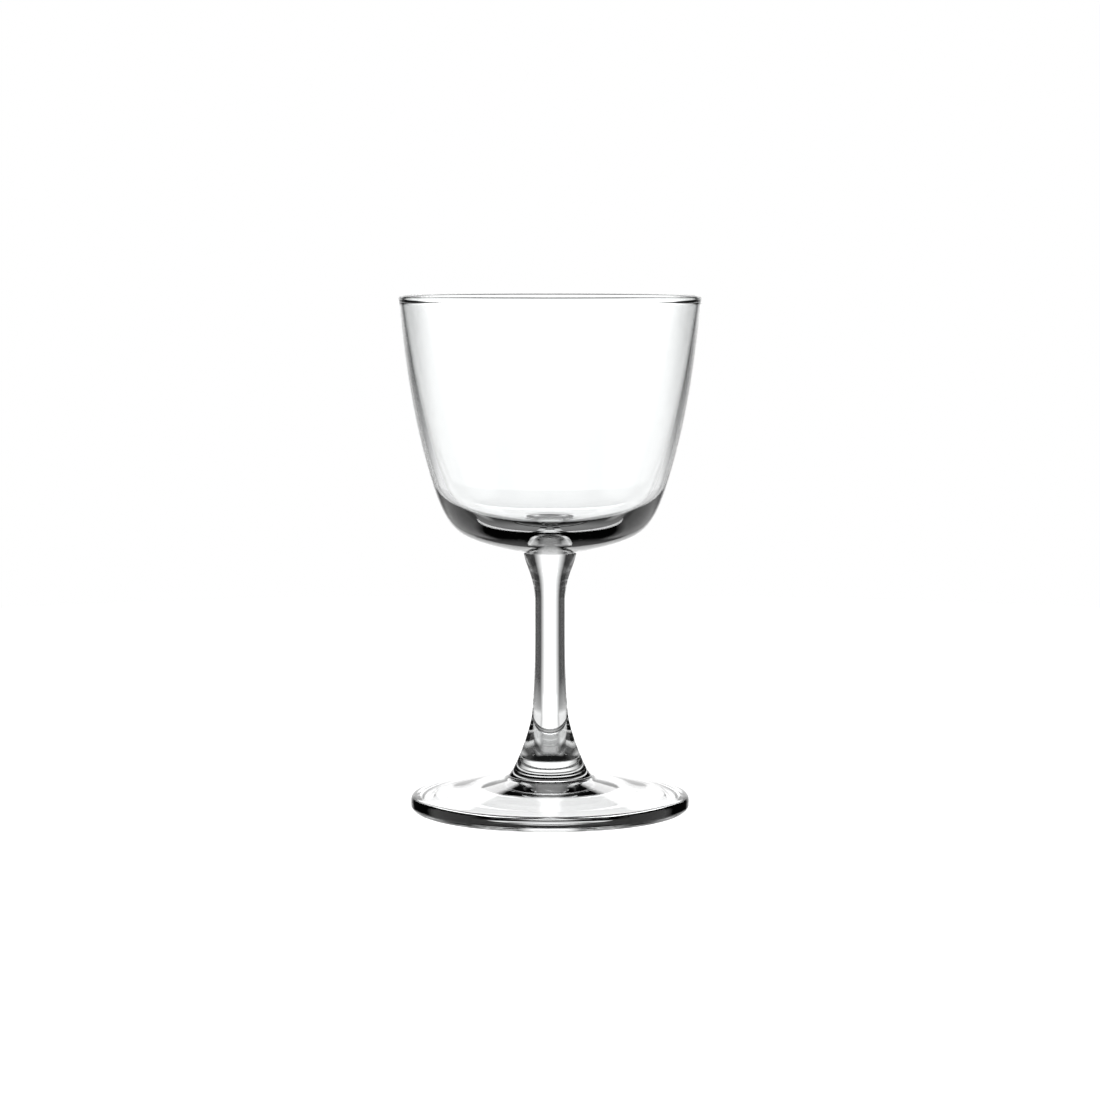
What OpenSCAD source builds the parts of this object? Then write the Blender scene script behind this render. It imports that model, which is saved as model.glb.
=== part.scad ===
// Small stemmed cocktail glass: a tapered bowl on a drawn stem and a low foot.
// Each piece is turned about the vertical axis, and the three are fused end to end.
// The origin is the centre of the standing plane, with the rim at the top.

/* [Bowl] */
// Outside diameter of the rim
rim_d = 73.6; // [68:0.2:80]
// Height of the bowl, from its seat on the stem to the top of the lip
bowl_h = 62.6; // [56:0.2:70]
// Thickness of the wall just below the lip
wall_t = 1.25; // [0.9:0.05:1.8]
// Thickness of the fire-polished lip
lip_t = 1.45; // [1.2:0.05:2]
// Depth over which the lip thins to the wall
lip_drop = 2; // [1.6:0.1:3]
// Outside diameter of the bowl at its shoulder
shoulder_d = 57.4; // [52:0.2:62]
// Height of the shoulder above the seat
shoulder_h = 17.2; // [14:0.2:21]
// Thickness of the wall at the shoulder
shoulder_t = 2.6; // [2:0.1:4.5]
// Inside diameter at which the steep side of the bowl meets its shallow floor
basin_d = 36.4; // [32:0.2:40]
// Height of that place above the seat
basin_h = 7.8; // [7:0.1:9]
// Thickness of the glass under the middle of the bowl
floor_t = 4.9; // [3.5:0.1:6]

/* [Stem] */
// Height of the stem, from the foot to the bowl
stem_h = 54.7; // [44:0.1:70]
// Diameter of the stem where the bowl sits on it
seat_d = 12.9; // [11:0.1:15]
// Diameter of the waist, the narrowest place
waist_d = 7.45; // [6:0.05:9]
// Distance of the waist below the bowl
waist_drop = 11.8; // [9:0.1:15]
// Diameter of the stem where its flare begins
flare_d = 8.7; // [7.5:0.1:10]
// Height of the flare above the foot
flare_h = 15.7; // [12:0.1:20]
// Diameter of the stem where it joins the foot
root_d = 20; // [17:0.1:21.5]

/* [Foot] */
// Diameter of the foot
foot_d = 68.4; // [62:0.2:76]
// Height of the foot where the stem joins it
foot_h = 8.7; // [8.4:0.1:10]
// Diameter at which the fillet round the stem runs out
crown_d = 23.8; // [22.4:0.2:28]
// Height of the foot where the fillet runs out
crown_h = 7.9; // [7:0.1:8.1]
// Width of the rounded edge, seen from above
edge_w = 1.4; // [1:0.1:3]
// Height of the foot where its rounded edge begins
edge_h = 4.1; // [3.6:0.1:5]
// Height of the widest line of the foot
girth_h = 1.6; // [1:0.05:2.2]
// Width of the rounding under the widest line
heel_w = 2; // [1.5:0.1:3]
// Width of the flat ring that the glass stands on
ring_w = 1; // [0.6:0.1:2]
// Diameter of the shallow dome of the underside
dome_d = 55.4; // [50:0.2:58]
// Rise of the underside where its dome begins
dome_h = 1.3; // [0.8:0.1:1.8]
// Rise of the underside at the middle of the dome
hollow_h = 3.9; // [2.8:0.1:4.4]

/* [Hidden] */
$fn = 96;

// Steps of each curve, and of the rounded lip
curve_steps = 26;
lip_steps = 14;

// Directions of the outlines in degrees, where 0 points away from the axis and -90 points down
down = -90;
inward = -180;
half_turn = 180;
wall_angle = -96.4;
shoulder_angle = -107.3;
seat_angle = -166.3;
inner_wall_angle = -96.6;
inner_shoulder_angle = -110.1;
basin_angle = -155.2;
neck_angle = -97;
flare_angle = -85.4;
root_angle = -51;
crown_angle = -10.5;
hollow_angle = -189.2;

// How far each curve keeps its first and its last direction, as shares of the distance between its ends
wall_shares = [0.27, 0.39];
base_shares = [0.5, 0.56];
lip_shares = [0.4, 0.4];
inner_wall_shares = [0.3, 0.32];
basin_shares = [0.42, 0.36];
floor_shares = [0.27, 0.37];
neck_shares = [0.28, 0.48];
shank_shares = [0.33, 0.33];
root_shares = [0.27, 0.17];
fillet_shares = [0.34, 0.29];
brim_shares = [0.54, 0.43];
heel_shares = [0.3, 0.45];
hollow_shares = [0.41, 0.73];

// Levels of the joints between the pieces, and of the top of the lip
foot_z = foot_h;
seat_z = foot_z + stem_h;
top_z = seat_z + bowl_h;
lip_z = top_z - lip_t / 2;

rim_r = rim_d / 2;
shoulder_r = shoulder_d / 2;
shoulder_z = seat_z + shoulder_h;
seat_r = seat_d / 2;
root_r = root_d / 2;
foot_r = foot_d / 2;
ring_r = foot_r - heel_w;

glass = [0.86, 0.91, 0.92, 0.45];

// The point that lies a distance from p in a direction
function away(p, angle, distance) = p + distance * [cos(angle), sin(angle)];

function bezier(a, b, c, d, t) =
    pow(1 - t, 3) * a + 3 * pow(1 - t, 2) * t * b + 3 * (1 - t) * pow(t, 2) * c + pow(t, 3) * d;

// A smooth curve that leaves p in one direction and reaches q in another
function sweep(p, angle_p, q, angle_q, shares) =
    let (span = norm(q - p))
    let (b = away(p, angle_p, shares[0] * span))
    let (c = away(q, angle_q, -shares[1] * span))
    [for (i = [0 : curve_steps]) bezier(p, b, c, q, i / curve_steps)];

// The same points without the first, for a curve that carries on from another
function rest(points) = [for (i = [1 : len(points) - 1]) points[i]];

function reversed(points) = [for (i = [len(points) - 1 : -1 : 0]) points[i]];

// Outside of the bowl, from the lip down to the seat on the stem
function bowl_outside() =
    let (shoulder = [shoulder_r, shoulder_z])
    concat(
        sweep([rim_r, lip_z], wall_angle, shoulder, shoulder_angle, wall_shares),
        rest(sweep(shoulder, shoulder_angle, [seat_r, seat_z], seat_angle, base_shares))
    );

// Rounded top of the lip, from the inside to the outside
function lip_round() =
    let (centre = [rim_r - lip_t / 2, lip_z])
    [for (i = [0 : lip_steps]) away(centre, half_turn * (1 - i / lip_steps), lip_t / 2)];

// Inside of the bowl, from the lip down to the middle of the floor
function bowl_inside() =
    let (lip = [rim_r - lip_t, lip_z])
    let (taper = (lip_z - top_z + lip_drop) / tan(-wall_angle))
    let (wall = [rim_r + taper - wall_t, top_z - lip_drop])
    let (shoulder = [shoulder_r - shoulder_t, shoulder_z])
    let (basin = [basin_d / 2, seat_z + basin_h])
    concat(
        sweep(lip, down, wall, inner_wall_angle, lip_shares),
        rest(sweep(wall, inner_wall_angle, shoulder, inner_shoulder_angle, inner_wall_shares)),
        rest(sweep(shoulder, inner_shoulder_angle, basin, basin_angle, basin_shares)),
        rest(sweep(basin, basin_angle, [0, seat_z + floor_t], inward, floor_shares))
    );

module bowl() {
    lip_and_outside = concat(rest(lip_round()), rest(bowl_outside()));
    color(glass)
        rotate_extrude()
            polygon(concat([[0, seat_z]], reversed(bowl_inside()), lip_and_outside));
}

module stem() {
    waist = [waist_d / 2, seat_z - waist_drop];
    flare = [flare_d / 2, foot_z + flare_h];
    neck = sweep([seat_r, seat_z], neck_angle, waist, down, neck_shares);
    shank = sweep(waist, down, flare, flare_angle, shank_shares);
    root = sweep(flare, flare_angle, [root_r, foot_z], root_angle, root_shares);
    color(glass)
        rotate_extrude()
            polygon(concat([[0, seat_z]], neck, rest(shank), rest(root), [[0, foot_z]]));
}

module foot() {
    crown = [crown_d / 2, crown_h];
    edge = [foot_r - edge_w, edge_h];
    girth = [foot_r, girth_h];
    fillet = sweep([root_r, foot_z], root_angle, crown, crown_angle, fillet_shares);
    brim = sweep(edge, crown_angle, girth, down, brim_shares);
    heel = sweep(girth, down, [ring_r, 0], inward, heel_shares);
    hollow = sweep([dome_d / 2, dome_h], hollow_angle, [0, hollow_h], inward, hollow_shares);
    color(glass)
        rotate_extrude()
            polygon(concat([[0, foot_z]], fillet, brim, rest(heel), [[ring_r - ring_w, 0]], hollow));
}

bowl();
stem();
foot();
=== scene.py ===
import math

import bpy
from bpy.props import FloatProperty, FloatVectorProperty, IntProperty, PointerProperty
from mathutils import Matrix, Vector


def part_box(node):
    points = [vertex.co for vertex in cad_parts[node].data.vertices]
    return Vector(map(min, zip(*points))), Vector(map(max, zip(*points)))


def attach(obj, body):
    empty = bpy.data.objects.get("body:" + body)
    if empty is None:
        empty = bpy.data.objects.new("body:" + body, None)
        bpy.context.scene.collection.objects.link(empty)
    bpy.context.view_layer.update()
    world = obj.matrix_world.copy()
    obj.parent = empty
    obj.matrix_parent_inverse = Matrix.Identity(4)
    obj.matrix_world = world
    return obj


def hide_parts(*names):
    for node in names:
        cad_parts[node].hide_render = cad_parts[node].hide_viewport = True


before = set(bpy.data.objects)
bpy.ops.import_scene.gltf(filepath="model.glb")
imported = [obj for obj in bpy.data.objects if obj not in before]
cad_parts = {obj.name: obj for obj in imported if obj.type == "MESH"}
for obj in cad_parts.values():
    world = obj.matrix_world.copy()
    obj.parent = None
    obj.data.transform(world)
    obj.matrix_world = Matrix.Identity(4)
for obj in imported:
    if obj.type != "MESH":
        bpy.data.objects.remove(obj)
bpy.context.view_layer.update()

bl_info = {
    "name": "Stemmed glass",
    "version": (1, 0, 0),
    "blender": (4, 5, 0),
    "location": "3D View > Sidebar > Glass",
    "description": "A clear stemmed glass in three hot-fused pieces, on a white studio floor",
    "category": "Add Mesh",
}

MM = 0.001

# Levels and widths that the packed model already has
BOWL_LOW, BOWL_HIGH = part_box("bowl")
STEM_LOW, STEM_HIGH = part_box("stem")
FOOT_LOW, FOOT_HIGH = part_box("foot")
RIM_D = 2 * min(-BOWL_LOW.x, -BOWL_LOW.y, BOWL_HIGH.x, BOWL_HIGH.y)
FOOT_D = 2 * min(-FOOT_LOW.x, -FOOT_LOW.y, FOOT_HIGH.x, FOOT_HIGH.y)

# Directions of the outlines in degrees, where 0 points away from the axis and -90 points down
DOWN = -90
INWARD = -180
WALL_ANGLE = -96.4
SHOULDER_ANGLE = -107.3
SEAT_ANGLE = -166.3
INNER_WALL_ANGLE = -96.6
INNER_SHOULDER_ANGLE = -110.1
BASIN_ANGLE = -155.2
NECK_ANGLE = -97
FLARE_ANGLE = -85.4
ROOT_ANGLE = -51
CROWN_ANGLE = -10.5
HOLLOW_ANGLE = -189.2

# How far each curve keeps its first and its last direction, as shares of the distance between its ends
WALL_SHARES = (0.27, 0.39)
BASE_SHARES = (0.5, 0.56)
LIP_SHARES = (0.4, 0.4)
INNER_WALL_SHARES = (0.3, 0.32)
BASIN_SHARES = (0.42, 0.36)
FLOOR_SHARES = (0.27, 0.37)
NECK_SHARES = (0.28, 0.48)
SHANK_SHARES = (0.33, 0.33)
ROOT_SHARES = (0.27, 0.17)
FILLET_SHARES = (0.34, 0.29)
BRIM_SHARES = (0.54, 0.43)
HEEL_SHARES = (0.3, 0.45)
HOLLOW_SHARES = (0.41, 0.73)
# The share at which a curve that turns by a right angle is a quarter of a circle
QUARTER_SHARES = (4 / 3 * math.tan(math.pi / 8) / math.sqrt(2),) * 2


def length(name, description, default):
    """A size in metres, which Blender shows in the scene's own unit."""
    return FloatProperty(
        name=name, description=description, default=default, min=0, precision=5,
        subtype="DISTANCE", unit="LENGTH",
    )


def colour(name, description, value):
    """A colour, given as an sRGB hex value."""
    return FloatVectorProperty(
        name=name, description=description, default=linear(value), size=4,
        min=0, max=1, subtype="COLOR",
    )


def linear(value):
    """The linear colour of an sRGB hex value, with full alpha."""
    parts = [int(value[i:i + 2], 16) / 255 for i in (1, 3, 5)]
    return (*[p / 12.92 if p <= 0.04045 else ((p + 0.055) / 1.055) ** 2.4 for p in parts], 1)


class BowlSizes(bpy.types.PropertyGroup):
    """Sizes of the bowl"""
    rim_d: length("Rim", "Outside diameter of the rim", RIM_D)
    wall_t: length("Wall", "Thickness of the wall just below the lip", 1.25 * MM)
    lip_t: length("Lip", "Thickness of the fire-polished lip", 1.45 * MM)
    lip_drop: length("Lip depth", "Depth over which the lip thins to the wall", 2 * MM)
    shoulder_d: length("Shoulder", "Outside diameter at the shoulder", 57.4 * MM)
    shoulder_h: length("Shoulder height", "Height of the shoulder above the seat", 17.2 * MM)
    shoulder_t: length("Shoulder wall", "Thickness of the wall at the shoulder", 2.6 * MM)
    basin_d: length("Basin", "Inside diameter where the steep side meets the shallow floor", 36.4 * MM)
    basin_h: length("Basin height", "Height of that place above the seat", 7.8 * MM)
    floor_t: length("Floor", "Thickness of the glass under the middle of the bowl", 4.9 * MM)


class StemSizes(bpy.types.PropertyGroup):
    """Sizes of the stem"""
    seat_d: length("Seat", "Diameter where the bowl sits on the stem", 12.9 * MM)
    waist_d: length("Waist", "Diameter at the narrowest place", 7.45 * MM)
    waist_drop: length("Waist depth", "Distance of the waist below the bowl", 11.8 * MM)
    flare_d: length("Flare", "Diameter where the flare begins", 8.7 * MM)
    flare_h: length("Flare height", "Height of the flare above the foot", 15.7 * MM)
    root_d: length("Root", "Diameter where the stem joins the foot", 20 * MM)


class FootSizes(bpy.types.PropertyGroup):
    """Sizes of the foot"""
    foot_d: length("Foot", "Diameter of the foot", FOOT_D)
    crown_d: length("Crown", "Diameter at which the fillet round the stem runs out", 23.8 * MM)
    crown_h: length("Crown height", "Height of the foot where the fillet runs out", 7.9 * MM)
    edge_w: length("Edge", "Width of the rounded edge, seen from above", 1.4 * MM)
    edge_h: length("Edge height", "Height where the rounded edge begins", 4.1 * MM)
    girth_h: length("Girth height", "Height of the widest line", 1.6 * MM)
    heel_w: length("Heel", "Width of the rounding under the widest line", 2 * MM)
    ring_w: length("Ring", "Width of the flat ring that the glass stands on", 1 * MM)
    dome_d: length("Dome", "Diameter of the shallow dome of the underside", 55.4 * MM)
    dome_h: length("Dome height", "Rise of the underside where its dome begins", 1.3 * MM)
    hollow_h: length("Hollow", "Rise of the underside at the middle of the dome", 3.9 * MM)


class GlassLook(bpy.types.PropertyGroup):
    """Finish of the glass, and how finely it is turned"""
    tint: colour("Tint", "Colour of the clear glass", "#FDFEFE")
    sides: IntProperty(name="Sides", description="Faces round the axis", default=192, min=24, max=360)
    curve_steps: IntProperty(
        name="Curve steps", description="Rings of each curve", default=32, min=8, max=48)
    ripple_h: length("Ripple", "Depth of the waviness that hot glass keeps", 0.004 * MM)
    ripple_w: length("Ripple width", "Distance between the waves", 9 * MM)


class StudioLook(bpy.types.PropertyGroup):
    """The floor, the backdrop and the light"""
    floor_colour: colour("Floor", "Colour of the floor", "#F7F7F7")
    floor_r: length("Floor radius", "Radius of the floor", 0.5)
    backdrop_colour: colour("Backdrop", "Colour of the backdrop", "#FFFFFF")


def away(p, angle, distance):
    """The point that lies a distance from p in a direction."""
    turn = math.radians(angle)
    return Vector((p[0] + distance * math.cos(turn), p[1] + distance * math.sin(turn)))


def sweep(p, angle_p, q, angle_q, shares):
    """A smooth curve that leaves p in one direction and reaches q in another, as four control points."""
    p, q = Vector(p), Vector(q)
    span = (q - p).length
    return [p, away(p, angle_p, shares[0] * span), away(q, angle_q, -shares[1] * span), q]


def straight(p, q):
    """A straight line, as the same four control points."""
    p, q = Vector(p), Vector(q)
    return [p, p.lerp(q, 1 / 3), p.lerp(q, 2 / 3), q]


def bowl_outline(bowl, stem):
    """From the middle of the floor up the inside, over the lip and down to the seat."""
    top, seat = BOWL_HIGH.z, STEM_HIGH.z
    rim_r, seat_r = bowl.rim_d / 2, stem.seat_d / 2
    lip_z = top - bowl.lip_t / 2
    inner_lip = (rim_r - bowl.lip_t, lip_z)
    taper = (bowl.lip_drop - bowl.lip_t / 2) / math.tan(math.radians(WALL_ANGLE))
    wall = (rim_r + taper - bowl.wall_t, top - bowl.lip_drop)
    shoulder = (bowl.shoulder_d / 2, seat + bowl.shoulder_h)
    inner_shoulder = (shoulder[0] - bowl.shoulder_t, shoulder[1])
    basin = (bowl.basin_d / 2, seat + bowl.basin_h)
    inside = [
        sweep(inner_lip, DOWN, wall, INNER_WALL_ANGLE, LIP_SHARES),
        sweep(wall, INNER_WALL_ANGLE, inner_shoulder, INNER_SHOULDER_ANGLE, INNER_WALL_SHARES),
        sweep(inner_shoulder, INNER_SHOULDER_ANGLE, basin, BASIN_ANGLE, BASIN_SHARES),
        sweep(basin, BASIN_ANGLE, (0, seat + bowl.floor_t), INWARD, FLOOR_SHARES),
    ]
    crest = (rim_r - bowl.lip_t / 2, top)
    return [
        *[curve[::-1] for curve in inside[::-1]],
        sweep(inner_lip, -DOWN, crest, 0, QUARTER_SHARES),
        sweep(crest, 0, (rim_r, lip_z), DOWN, QUARTER_SHARES),
        sweep((rim_r, lip_z), WALL_ANGLE, shoulder, SHOULDER_ANGLE, WALL_SHARES),
        sweep(shoulder, SHOULDER_ANGLE, (seat_r, seat), SEAT_ANGLE, BASE_SHARES),
        straight((seat_r, seat), (0, seat)),
    ]


def stem_outline(stem):
    """From the seat of the bowl down to the foot."""
    seat, foot = STEM_HIGH.z, STEM_LOW.z
    waist = (stem.waist_d / 2, seat - stem.waist_drop)
    flare = (stem.flare_d / 2, foot + stem.flare_h)
    return [
        straight((0, seat), (stem.seat_d / 2, seat)),
        sweep((stem.seat_d / 2, seat), NECK_ANGLE, waist, DOWN, NECK_SHARES),
        sweep(waist, DOWN, flare, FLARE_ANGLE, SHANK_SHARES),
        sweep(flare, FLARE_ANGLE, (stem.root_d / 2, foot), ROOT_ANGLE, ROOT_SHARES),
        straight((stem.root_d / 2, foot), (0, foot)),
    ]


def foot_outline(foot, stem):
    """From the stem over the top of the foot, round its edge and back under it."""
    top, root_r, foot_r = FOOT_HIGH.z, stem.root_d / 2, foot.foot_d / 2
    crown = (foot.crown_d / 2, foot.crown_h)
    edge = (foot_r - foot.edge_w, foot.edge_h)
    girth = (foot_r, foot.girth_h)
    ring_r = foot_r - foot.heel_w
    ring = (ring_r - foot.ring_w, 0)
    dome = (foot.dome_d / 2, foot.dome_h)
    return [
        straight((0, top), (root_r, top)),
        sweep((root_r, top), ROOT_ANGLE, crown, CROWN_ANGLE, FILLET_SHARES),
        straight(crown, edge),
        sweep(edge, CROWN_ANGLE, girth, DOWN, BRIM_SHARES),
        sweep(girth, DOWN, (ring_r, 0), INWARD, HEEL_SHARES),
        straight((ring_r, 0), ring),
        straight(ring, dome),
        sweep(dome, HOLLOW_ANGLE, (0, foot.hollow_h), INWARD, HOLLOW_SHARES),
    ]


def outline_curve(name, curves):
    """A curve object that runs along the outline, with the radius as X and the height as Z."""
    data = bpy.data.curves.new(name, "CURVE")
    data.dimensions = "3D"
    spline = data.splines.new("BEZIER")
    spline.bezier_points.add(len(curves))
    for i, (p, leave, reach, q) in enumerate(curves):
        here, there = spline.bezier_points[i], spline.bezier_points[i + 1]
        here.handle_right_type = there.handle_left_type = "FREE"
        here.co, there.co = (p.x, 0, p.y), (q.x, 0, q.y)
        here.handle_right = (leave.x, 0, leave.y)
        there.handle_left = (reach.x, 0, reach.y)
    first, last = spline.bezier_points[0], spline.bezier_points[-1]
    first.handle_left, last.handle_right = first.co, last.co
    outline = bpy.data.objects.new(name, data)
    bpy.context.scene.collection.objects.link(outline)
    return outline


def add(tree, kind, links=None, **settings):
    """A node with its settings, and its inputs, each a number, a colour or another node's output."""
    node = tree.nodes.new(kind)
    for name, value in settings.items():
        setattr(node, name, value)
    for name, value in (links or {}).items():
        if isinstance(value, bpy.types.NodeSocket):
            tree.links.new(value, node.inputs[name])
        else:
            node.inputs[name].default_value = value
    return node


# Points closer than this are one point, and faces that meet at more than this angle have a sharp edge
SAME_POINT = 1e-6
CREASE_ANGLE = 20


def lathe_tree():
    """Turns an outline about the vertical axis into one closed, smooth mesh."""
    tree = bpy.data.node_groups.new("Turned glass", "GeometryNodeTree")
    for name, kind in (
        ("Outline", "NodeSocketObject"), ("Sides", "NodeSocketInt"), ("Curve Steps", "NodeSocketInt"),
        ("Ripple", "NodeSocketFloat"), ("Ripple Width", "NodeSocketFloat"),
        ("Upper Joint", "NodeSocketFloat"), ("Lower Joint", "NodeSocketFloat"),
        ("Glass", "NodeSocketMaterial"), ("Joint", "NodeSocketMaterial"),
    ):
        tree.interface.new_socket(name, in_out="INPUT", socket_type=kind)
    tree.interface.new_socket("Geometry", in_out="OUTPUT", socket_type="NodeSocketGeometry")
    size = add(tree, "NodeGroupInput").outputs

    outline = add(tree, "GeometryNodeObjectInfo", {"Object": size["Outline"]})
    finer = add(tree, "GeometryNodeSetSplineResolution",
                {"Geometry": outline.outputs["Geometry"], "Resolution": size["Curve Steps"]})
    rings = add(tree, "GeometryNodeResampleCurve", {"Curve": finer.outputs[0]}, mode="EVALUATED")
    count = add(tree, "GeometryNodeAttributeDomainSize", {"Geometry": rings.outputs[0]}, component="CURVE")
    around = add(tree, "ShaderNodeMath", {0: size["Sides"], 1: 1}, operation="ADD")
    sheet = add(tree, "GeometryNodeMeshGrid",
                {"Vertices X": count.outputs["Point Count"], "Vertices Y": around.outputs[0]})

    index = add(tree, "GeometryNodeInputIndex").outputs[0]
    row = add(tree, "ShaderNodeMath", {0: index, 1: around.outputs[0]}, operation="DIVIDE")
    row = add(tree, "ShaderNodeMath", {0: row.outputs[0]}, operation="FLOOR")
    column = add(tree, "ShaderNodeMath", {0: index, 1: around.outputs[0]}, operation="FLOORED_MODULO")
    turn = add(tree, "ShaderNodeMath", {0: column.outputs[0], 1: math.tau}, operation="MULTIPLY")
    turn = add(tree, "ShaderNodeMath", {0: turn.outputs[0], 1: size["Sides"]}, operation="DIVIDE")
    position = add(tree, "GeometryNodeInputPosition").outputs[0]
    on_outline = add(tree, "GeometryNodeSampleIndex",
                     {"Geometry": rings.outputs[0], "Value": position, "Index": row.outputs[0]},
                     data_type="FLOAT_VECTOR", domain="POINT")
    turned = add(tree, "ShaderNodeVectorRotate",
                 {"Vector": on_outline.outputs[0], "Angle": turn.outputs[0]}, rotation_type="Z_AXIS")

    # Hot glass keeps a slight waviness, which only narrows the piece
    waves = add(tree, "ShaderNodeMath", {0: 1, 1: size["Ripple Width"]}, operation="DIVIDE")
    noise = add(tree, "ShaderNodeTexNoise",
                {"Vector": turned.outputs[0], "Scale": waves.outputs[0], "Detail": 1.0})
    ripple = add(tree, "ShaderNodeMath", {0: noise.outputs["Fac"], 1: size["Ripple"]}, operation="MULTIPLY")
    flat = add(tree, "ShaderNodeVectorMath", {0: turned.outputs[0], 1: (1, 1, 0)}, operation="MULTIPLY")
    outward = add(tree, "ShaderNodeVectorMath", {0: flat.outputs[0]}, operation="NORMALIZE")
    shift = add(tree, "ShaderNodeVectorMath",
                {0: outward.outputs[0], "Scale": ripple.outputs[0]}, operation="SCALE")
    place = add(tree, "ShaderNodeVectorMath",
                {0: turned.outputs[0], 1: shift.outputs[0]}, operation="SUBTRACT")
    shaped = add(tree, "GeometryNodeSetPosition",
                 {"Geometry": sheet.outputs["Mesh"], "Position": place.outputs[0]})
    closed = add(tree, "GeometryNodeMergeByDistance",
                 {"Geometry": shaped.outputs[0], "Distance": SAME_POINT})

    smooth = add(tree, "GeometryNodeSetShadeSmooth", {"Geometry": closed.outputs[0]}, domain="FACE")
    bend = add(tree, "GeometryNodeInputMeshEdgeAngle").outputs["Unsigned Angle"]
    crease = add(tree, "FunctionNodeCompare",
                 {"A": bend, "B": math.radians(CREASE_ANGLE)}, operation="GREATER_THAN")
    creased = add(tree, "GeometryNodeSetShadeSmooth",
                  {"Geometry": smooth.outputs[0], "Selection": crease.outputs[0], "Shade Smooth": False},
                  domain="EDGE")

    height = add(tree, "ShaderNodeSeparateXYZ", {0: position}).outputs["Z"]
    at_upper, at_lower = (
        add(tree, "FunctionNodeCompare",
            {"A": height, "B": size[level], "Epsilon": SAME_POINT}, operation="EQUAL")
        for level in ("Upper Joint", "Lower Joint"))
    at_joint = add(tree, "FunctionNodeBooleanMath",
                   {0: at_upper.outputs[0], 1: at_lower.outputs[0]}, operation="OR")
    whole = add(tree, "GeometryNodeRealizeInstances", {"Geometry": creased.outputs[0]})
    glazed = add(tree, "GeometryNodeSetMaterial",
                 {"Geometry": whole.outputs[0], "Material": size["Glass"]})
    joined = add(tree, "GeometryNodeSetMaterial",
                 {"Geometry": glazed.outputs[0], "Selection": at_joint.outputs[0], "Material": size["Joint"]})
    add(tree, "NodeGroupOutput", {"Geometry": joined.outputs[0]})
    return tree


def turn_piece(name, curves, glass, joint, joint_levels):
    """A piece turned from its outline, as a plain mesh."""
    look = bpy.context.scene.glass_look
    tree = bpy.data.node_groups.get("Turned glass") or lathe_tree()
    outline = outline_curve(name + "_outline", curves)
    blank = bpy.data.objects.new(name + "_blank", bpy.data.meshes.new(name + "_blank"))
    bpy.context.scene.collection.objects.link(blank)
    lathe = blank.modifiers.new("Lathe", "NODES")
    lathe.node_group = tree
    socket = {item.name: item.identifier for item in tree.interface.items_tree if item.in_out == "INPUT"}
    for label, value in {
        "Outline": outline, "Sides": look.sides, "Curve Steps": look.curve_steps,
        "Ripple": look.ripple_h, "Ripple Width": look.ripple_w,
        "Upper Joint": max(joint_levels), "Lower Joint": min(joint_levels),
        "Glass": glass, "Joint": joint,
    }.items():
        lathe[socket[label]] = value
    graph = bpy.context.evaluated_depsgraph_get()
    mesh = bpy.data.meshes.new_from_object(blank.evaluated_get(graph), depsgraph=graph)
    mesh.name = name
    bpy.data.objects.remove(blank)
    bpy.data.objects.remove(outline)
    piece = bpy.data.objects.new(name, mesh)
    bpy.context.scene.collection.objects.link(piece)
    return piece


def new_material(name):
    """An empty node material, with its tree and its output."""
    material = bpy.data.materials.new(name)
    material.use_nodes = True
    material.node_tree.nodes.clear()
    return material, material.node_tree, add(material.node_tree, "ShaderNodeOutputMaterial")


# Soda-lime glass: how strongly it bends light, the roughness of the film on it, and what it lets through
# into its shadow
GLASS_IOR = 1.52
GLASS_FILM = 0.01
SHADOW_TINT = (0.93, 0.93, 0.93, 1)


def clear_glass(name):
    """Clear soda-lime glass with a melted, glossy skin, which bends light and hardly colours it."""
    material, tree, output = new_material(name)
    look = bpy.context.scene.glass_look
    place = add(tree, "ShaderNodeTexCoord").outputs["Object"]
    film = add(tree, "ShaderNodeTexNoise", {"Vector": place, "Scale": 1 / (6 * MM), "Detail": 3.0})
    rough = add(tree, "ShaderNodeMapRange", {
        "Value": film.outputs["Fac"], "From Min": 0.4, "From Max": 0.7, "To Min": 0, "To Max": GLASS_FILM})
    glass = add(tree, "ShaderNodeBsdfPrincipled", {
        "Base Color": look.tint, "Transmission Weight": 1.0, "IOR": GLASS_IOR,
        "Roughness": rough.outputs[0]})
    light = add(tree, "ShaderNodeLightPath").outputs
    past = add(tree, "ShaderNodeMath", {0: light["Is Shadow Ray"], 1: light["Is Diffuse Ray"]},
               operation="MAXIMUM")
    open_way = add(tree, "ShaderNodeBsdfTransparent", {"Color": SHADOW_TINT})
    mixed = add(tree, "ShaderNodeMixShader",
                {0: past.outputs[0], 1: glass.outputs[0], 2: open_way.outputs[0]})
    tree.links.new(mixed.outputs[0], output.inputs["Surface"])
    return material


def fused_joint():
    """Glass that has run into glass: no surface is left there, so light passes straight on."""
    material = bpy.data.materials.get("Fused glass joint")
    if material is None:
        material, tree, output = new_material("Fused glass joint")
        passing = add(tree, "ShaderNodeBsdfTransparent")
        tree.links.new(passing.outputs[0], output.inputs["Surface"])
    return material


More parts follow.
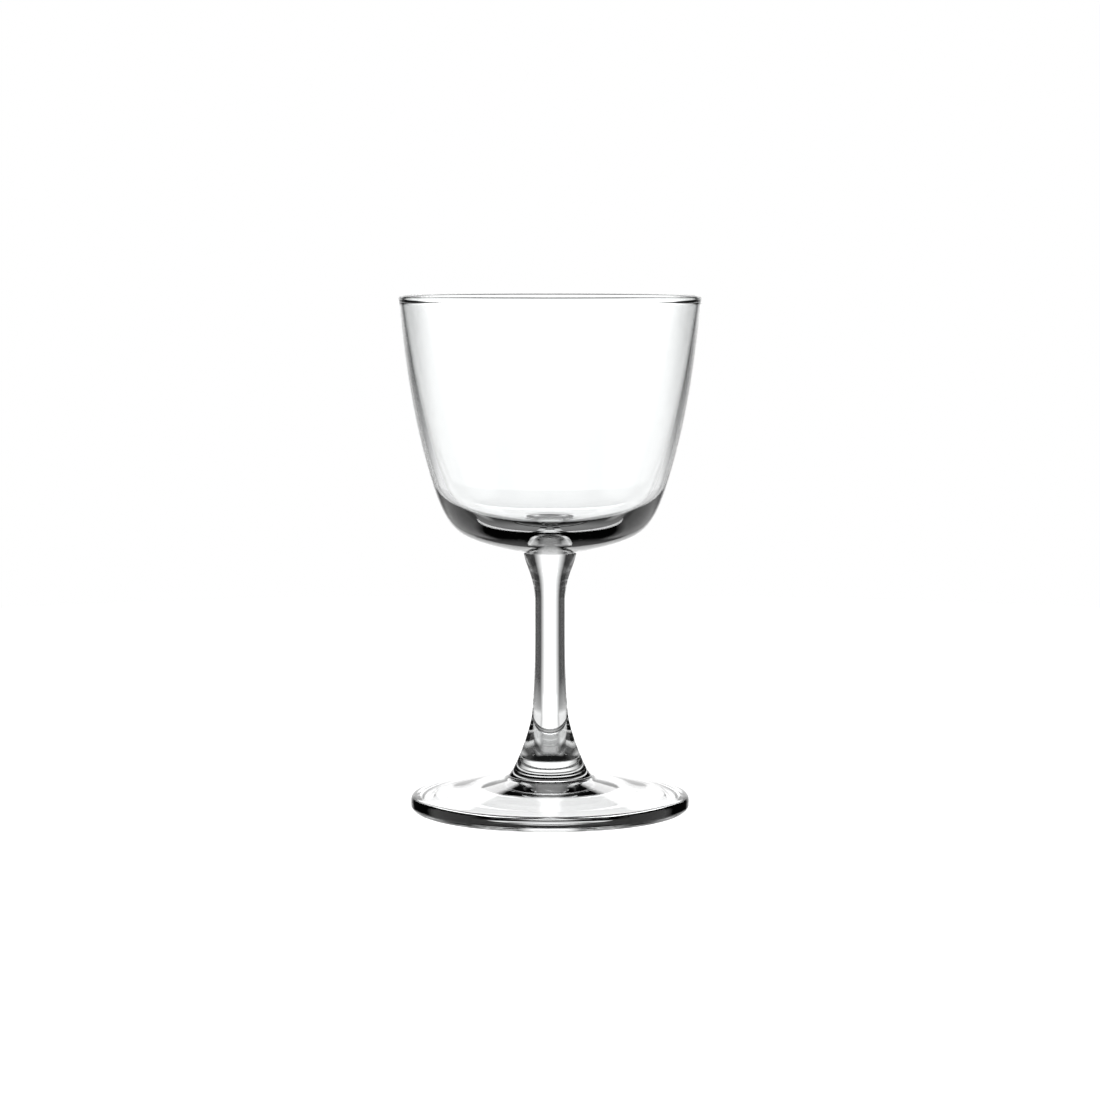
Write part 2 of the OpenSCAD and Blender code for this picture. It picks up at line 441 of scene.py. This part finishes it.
def white_floor():
    """Matt white acrylic sheet: nearly pure white to the camera, apart from the object's soft shadow."""
    material, tree, output = new_material("White acrylic floor, matt")
    studio = bpy.context.scene.studio_look
    place = add(tree, "ShaderNodeTexCoord").outputs["Object"]
    grain = add(tree, "ShaderNodeTexNoise", {"Vector": place, "Scale": 1 / (0.8 * MM), "Detail": 2.0})
    bump = add(tree, "ShaderNodeBump",
               {"Height": grain.outputs["Fac"], "Distance": 0.02 * MM, "Strength": 0.2})
    matt = add(tree, "ShaderNodeBsdfDiffuse",
               {"Color": studio.floor_colour, "Normal": bump.outputs[0]})
    glow = add(tree, "ShaderNodeEmission", {"Color": studio.floor_colour, "Strength": 0.8})
    lit = add(tree, "ShaderNodeAddShader", {0: matt.outputs[0], 1: glow.outputs[0]})
    tree.links.new(lit.outputs[0], output.inputs["Surface"])
    return material


# What the glass sees round it, the same on the left and on the right. Each is a light patch with the
# direction of its middle, to the side of straight behind and above the level, half its width and height,
# and the width of its soft edges sideways and upward, all in degrees. The last number is how bright it is,
# where 1 is white.
SURROUNDINGS = (
    (0, 5, 20, 19, 16, 4, 1.22),        # backdrop
    (0, -20, 21, 10, 10, 3, 1.13),      # its sweep towards the floor
    (0, -42, 19, 14, 16, 8, 0.24),      # floor behind the glass
    (0, 21.5, 14, 3.5, 8, 2, 3.4),      # bright strip over the backdrop
    (45, -29, 26, 15, 10, 8, 0.9),      # floor beside the backdrop
    (90, 1, 25, 26, 12, 6, 0.8),        # side wall
    (90, -30, 25, 14, 12, 8, 0.6),      # floor beside the glass
    (138, -9, 30, 14, 12, 12, 0.85),    # low card beside the camera
    (180, 2, 20, 22, 12, 6, 0.7),       # wall behind the camera
    (160, -42, 18, 10, 12, 8, 0.4),     # floor before the glass
)

# The faint light from everywhere else, on the same scale, and the light from all round that the floor gets
ROOM_LIGHT = 0.01
FLOOR_FILL = 0.3


def studio_world():
    """White to the camera. The glass sees the light patches, and near black between them."""
    world = bpy.data.worlds.new("White studio")
    world.use_nodes = True
    tree = world.node_tree
    tree.nodes.clear()
    studio = bpy.context.scene.studio_look
    direction = add(tree, "ShaderNodeTexCoord").outputs["Generated"]
    part = add(tree, "ShaderNodeSeparateXYZ", {0: direction}).outputs
    azimuth = add(tree, "ShaderNodeMath", {0: part["X"], 1: part["Y"]}, operation="ARCTAN2")
    across = add(tree, "ShaderNodeMath", {0: azimuth.outputs[0]}, operation="ABSOLUTE").outputs[0]
    height = add(tree, "ShaderNodeMath", {0: part["Z"]}, operation="ARCSINE").outputs[0]
    brightest = ROOM_LIGHT
    for side, level, half_width, half_height, soft_side, soft_top, patch in SURROUNDINGS:
        for angle, middle, half, soft in (
                (across, side, half_width, soft_side), (height, level, half_height, soft_top)):
            off = add(tree, "ShaderNodeMath", {0: angle, 1: math.radians(middle)}, operation="SUBTRACT")
            off = add(tree, "ShaderNodeMath", {0: off.outputs[0]}, operation="ABSOLUTE")
            inside = add(tree, "ShaderNodeMapRange", {
                "Value": off.outputs[0], "From Min": math.radians(half - soft / 2),
                "From Max": math.radians(half + soft / 2), "To Min": 1, "To Max": 0})
            patch = add(tree, "ShaderNodeMath", {0: patch, 1: inside.outputs[0]}, operation="MULTIPLY")
            patch = patch.outputs[0]
        brightest = add(tree, "ShaderNodeMath", {0: brightest, 1: patch}, operation="MAXIMUM").outputs[0]
    light = add(tree, "ShaderNodeLightPath").outputs
    glass_sees = add(tree, "ShaderNodeBackground",
                     {"Color": studio.backdrop_colour, "Strength": brightest})
    camera_sees = add(tree, "ShaderNodeBackground", {"Color": studio.backdrop_colour, "Strength": 1.0})
    room = add(tree, "ShaderNodeBackground", {"Color": (1, 1, 1, 1), "Strength": FLOOR_FILL})
    through = add(tree, "ShaderNodeMath",
                  {0: light["Is Glossy Ray"], 1: light["Is Transmission Ray"]}, operation="MAXIMUM")
    indirect = add(tree, "ShaderNodeMixShader",
                   {0: through.outputs[0], 1: room.outputs[0], 2: glass_sees.outputs[0]})
    mixed = add(tree, "ShaderNodeMixShader",
                {0: light["Is Camera Ray"], 1: indirect.outputs[0], 2: camera_sees.outputs[0]})
    add(tree, "ShaderNodeOutputWorld", {"Surface": mixed.outputs[0]})
    return world


class GLASS_OT_bowl(bpy.types.Operator):
    """Turn the bowl, blown thin at the wall and thick at the base"""
    bl_idname = "glass.bowl"
    bl_label = "Bowl"

    def execute(self, context):
        scene = context.scene
        glass = clear_glass("Clear soda-lime glass, blown")
        curves = bowl_outline(scene.bowl_sizes, scene.stem_sizes)
        piece = turn_piece("blown_bowl", curves, glass, fused_joint(), [STEM_HIGH.z])
        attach(piece, "root")
        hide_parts("bowl")
        return {"FINISHED"}


class GLASS_OT_stem(bpy.types.Operator):
    """Turn the stem, drawn from the hot glass under the bowl"""
    bl_idname = "glass.stem"
    bl_label = "Stem"

    def execute(self, context):
        glass = clear_glass("Clear soda-lime glass, drawn")
        curves = stem_outline(context.scene.stem_sizes)
        piece = turn_piece("drawn_stem", curves, glass, fused_joint(), [STEM_LOW.z, STEM_HIGH.z])
        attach(piece, "root")
        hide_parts("stem")
        return {"FINISHED"}


class GLASS_OT_foot(bpy.types.Operator):
    """Turn the foot, pressed low and hollow underneath"""
    bl_idname = "glass.foot"
    bl_label = "Foot"

    def execute(self, context):
        scene = context.scene
        glass = clear_glass("Clear soda-lime glass, pressed")
        curves = foot_outline(scene.foot_sizes, scene.stem_sizes)
        piece = turn_piece("pressed_foot", curves, glass, fused_joint(), [FOOT_HIGH.z])
        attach(piece, "root")
        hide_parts("foot")
        return {"FINISHED"}


# The camera looks slightly down on the glass, from in front of it
CAMERA_PLACE = Vector((0, -0.790, 0.136))
CAMERA_AIM = Vector((0, 0, 0.0640))
CAMERA_LENS = 106.3

# The softbox that hangs over the glass: its width, its height above the floor and its power in watts
SOFTBOX_D = 0.9
SOFTBOX_H = 1.2
SOFTBOX_POWER = 6.0


class GLASS_OT_stage(bpy.types.Operator):
    """Lay the floor, hang the light and place the camera"""
    bl_idname = "glass.stage"
    bl_label = "Stage"

    def execute(self, context):
        scene = context.scene
        scene.view_settings.view_transform = "Standard"
        scene.world = studio_world()

        bpy.ops.mesh.primitive_circle_add(vertices=96, radius=scene.studio_look.floor_r, fill_type="NGON")
        floor = context.object
        floor.name = "floor"
        floor.data.materials.append(white_floor())
        floor.visible_transmission = floor.visible_glossy = False

        lamp = bpy.data.lights.new("overhead_softbox", "AREA")
        lamp.shape, lamp.size, lamp.energy = "DISK", SOFTBOX_D, SOFTBOX_POWER
        softbox = bpy.data.objects.new("overhead_softbox", lamp)
        softbox.location = (0, 0, SOFTBOX_H)
        softbox.visible_transmission = softbox.visible_glossy = False
        scene.collection.objects.link(softbox)

        camera = bpy.data.objects.new("camera", bpy.data.cameras.new("camera"))
        camera.data.lens = CAMERA_LENS
        camera.location = CAMERA_PLACE
        camera.rotation_euler = (CAMERA_AIM - CAMERA_PLACE).to_track_quat("-Z", "Y").to_euler()
        scene.collection.objects.link(camera)
        scene.camera = camera
        return {"FINISHED"}


class GLASS_PT_panel(bpy.types.Panel):
    """The pieces of the glass, in the order in which they are made"""
    bl_idname = "GLASS_PT_panel"
    bl_label = "Stemmed glass"
    bl_space_type = "VIEW_3D"
    bl_region_type = "UI"
    bl_category = "Glass"

    def draw(self, context):
        for operator in OPERATORS:
            self.layout.operator(operator.bl_idname)
        for group in GROUPS:
            box = self.layout.box()
            box.label(text=GROUPS[group].__doc__)
            for name in GROUPS[group].__annotations__:
                box.prop(getattr(context.scene, group), name)


OPERATORS = (GLASS_OT_bowl, GLASS_OT_stem, GLASS_OT_foot, GLASS_OT_stage)
GROUPS = {
    "bowl_sizes": BowlSizes, "stem_sizes": StemSizes, "foot_sizes": FootSizes,
    "glass_look": GlassLook, "studio_look": StudioLook,
}


def register():
    for group, kind in GROUPS.items():
        bpy.utils.register_class(kind)
        setattr(bpy.types.Scene, group, PointerProperty(type=kind))
    for kind in (*OPERATORS, GLASS_PT_panel):
        bpy.utils.register_class(kind)


def unregister():
    for kind in (GLASS_PT_panel, *OPERATORS):
        bpy.utils.unregister_class(kind)
    for group, kind in GROUPS.items():
        delattr(bpy.types.Scene, group)
        bpy.utils.unregister_class(kind)


def main():
    register()
    bpy.ops.glass.bowl()
    bpy.ops.glass.stem()
    bpy.ops.glass.foot()
    bpy.ops.glass.stage()


if __name__ == "__main__":
    main()
